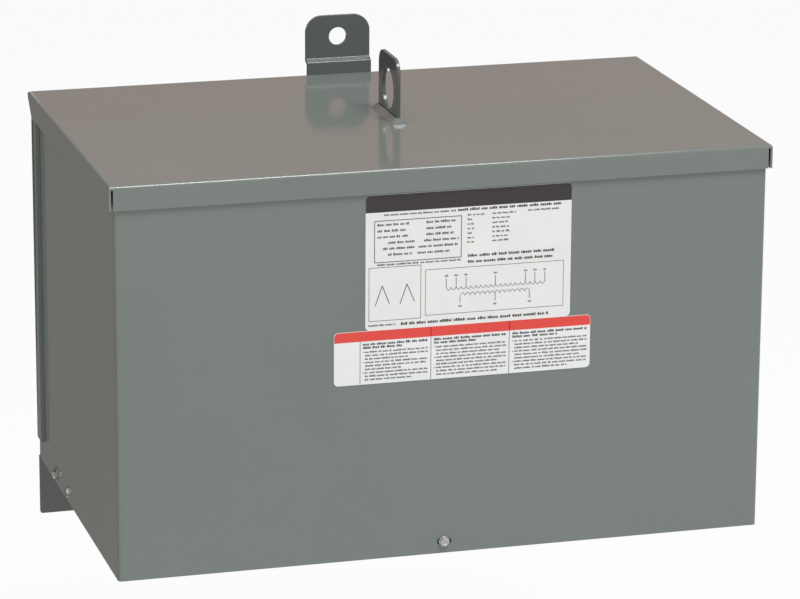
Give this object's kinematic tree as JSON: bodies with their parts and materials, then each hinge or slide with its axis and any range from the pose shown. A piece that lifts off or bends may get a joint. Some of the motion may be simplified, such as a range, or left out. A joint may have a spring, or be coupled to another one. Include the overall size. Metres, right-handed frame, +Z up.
{
  "type": "dry-type transformer",
  "caption": "Wall-hung, resin-filled dry-type transformer in a rainproof sheet-steel case, with a hanging bracket, lower feet and a lifting eye on its lid.",
  "frame": {"origin": "on the rear face of the hanging bracket, on the case's middle line, 15.3 mm under the centre of the hanging hole", "axes": "+Z up, +X to the right seen from the front, +Y into the wall; the wall is the plane Y = 0"},
  "size_m": [0.611, 0.3827, 0.4826],
  "materials": {
    "enamel": "gloss",
    "dark_enamel": "satin",
    "zinc": "satin",
    "resin": "matte",
    "label": "satin"
  },
  "bodies": {
    "root": {"lid": "enamel", "case_wrapper": "enamel", "back_panel": "enamel", "bottom_pan": "enamel", "compartment_ceiling": "dark_enamel", "potted_core": "resin", "left_rear_channel": "enamel", "right_rear_channel": "enamel", "hanging_bracket": "enamel", "hanging_bracket_bolts": "zinc", "left_foot": "dark_enamel", "right_foot": "dark_enamel", "left_foot_bolts": "zinc", "right_foot_bolts": "zinc", "lifting_eye": "enamel", "eye_collar": "enamel", "front_screw": "zinc", "left_bond_screw": "zinc", "left_pan_screw": "zinc", "right_bond_screw": "zinc", "right_pan_screw": "zinc", "rating_label": "label", "notice_label": "label"}
  },
  "joints": []
}
